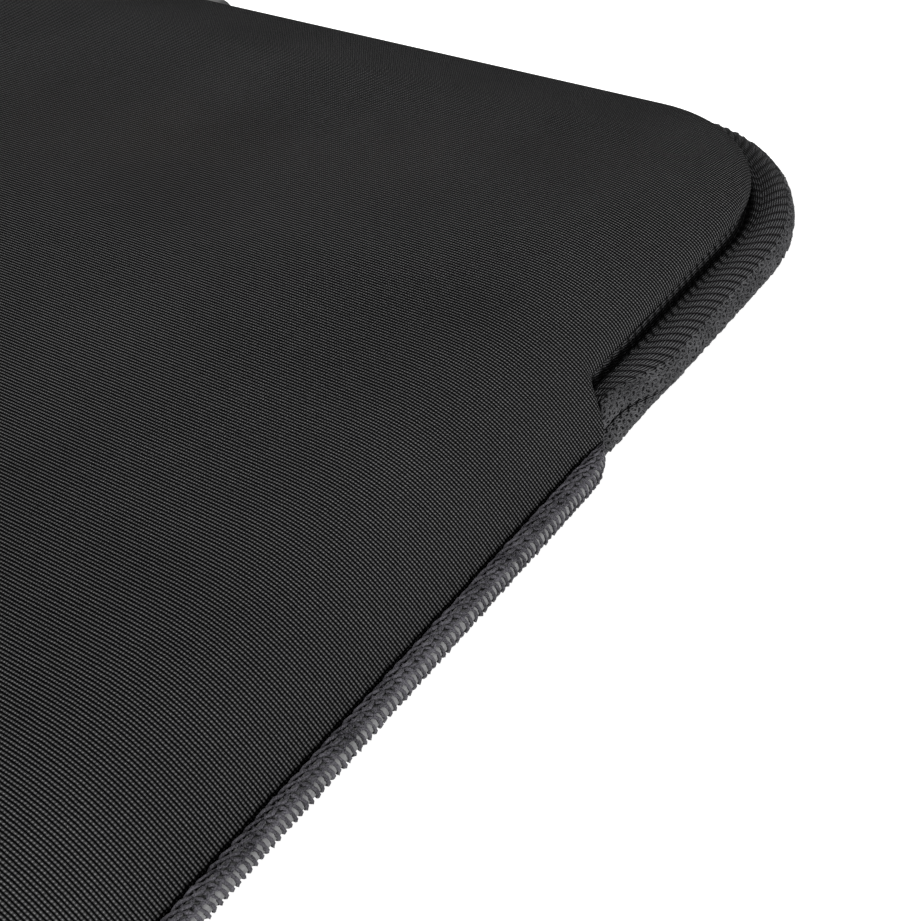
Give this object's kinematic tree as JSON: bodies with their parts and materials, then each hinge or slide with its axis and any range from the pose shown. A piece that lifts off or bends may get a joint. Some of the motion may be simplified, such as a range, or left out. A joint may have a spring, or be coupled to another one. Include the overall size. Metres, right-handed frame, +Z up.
{
  "type": "laptop sleeve",
  "caption": "Flat padded laptop sleeve with rounded corners, overlocked side and bottom seams and a two-slider coil zip round its mouth.",
  "frame": {"origin": "centre of the sleeve's footprint, on the surface that it lies on", "axes": "+X along the zipped long edge, +Y towards the zip mouth, +Z up out of the front panel"},
  "size_m": [0.34, 0.247, 0.027],
  "materials": {
    "knit_face": "fine black knit with a soft sheen",
    "foam": "closed-cell foam rubber",
    "lining": "black knitted lining",
    "zip_tape": "herringbone woven tape",
    "coil": "black monofilament coil",
    "binding": "plain woven binding",
    "thread": "dark grey textured thread",
    "slider": "satin black painted zinc"
  },
  "bodies": {
    "base": {"back_face": "knit_face", "back_foam": "foam", "back_lining": "lining", "front_face": "knit_face", "front_foam": "foam", "front_lining": "lining", "lower_tape": "zip_tape", "lower_coil": "coil", "lower_binding": "binding", "seam_overlock": "thread", "end_tacks": "thread"},
    "flap": {"flap_face": "knit_face", "flap_foam": "foam", "flap_lining": "lining", "upper_tape": "zip_tape", "upper_coil": "coil", "upper_binding": "binding"},
    "left_slider": {"left_slider": "slider"},
    "right_slider": {"right_slider": "slider"},
    "left_puller": {"left_puller": "slider"},
    "right_puller": {"right_puller": "slider"}
  },
  "joints": [
    {"name": "flap_hinge", "type": "hinge", "parent": "base", "child": "flap", "pos_m": [0, 0.045, 0.027], "axis": [1, 0, 0], "range_deg": [0, 70]},
    {"name": "left_slide", "type": "slide", "parent": "base", "child": "left_slider", "axis": [-1, 0, 0], "range_m": [0, 0.124], "deforming": ["lower_coil", "lower_tape"]},
    {"name": "right_slide", "type": "slide", "parent": "base", "child": "right_slider", "axis": [1, 0, 0], "range_m": [0, 0.124], "deforming": ["lower_coil", "lower_tape"]},
    {"name": "left_puller_hinge", "type": "hinge", "parent": "left_slider", "child": "left_puller", "pos_m": [-0.0056, 0.12175, 0.0135], "axis": [0, 0, -1], "range_deg": [0, 90]},
    {"name": "right_puller_hinge", "type": "hinge", "parent": "right_slider", "child": "right_puller", "pos_m": [0.0056, 0.12175, 0.0135], "axis": [0, 0, 1], "range_deg": [0, 90]}
  ],
  "couplings": [
    {"joint": "left_slide", "follows": "flap_hinge", "m_per_rad": 0.1015},
    {"joint": "right_slide", "follows": "flap_hinge", "m_per_rad": 0.1015}
  ]
}
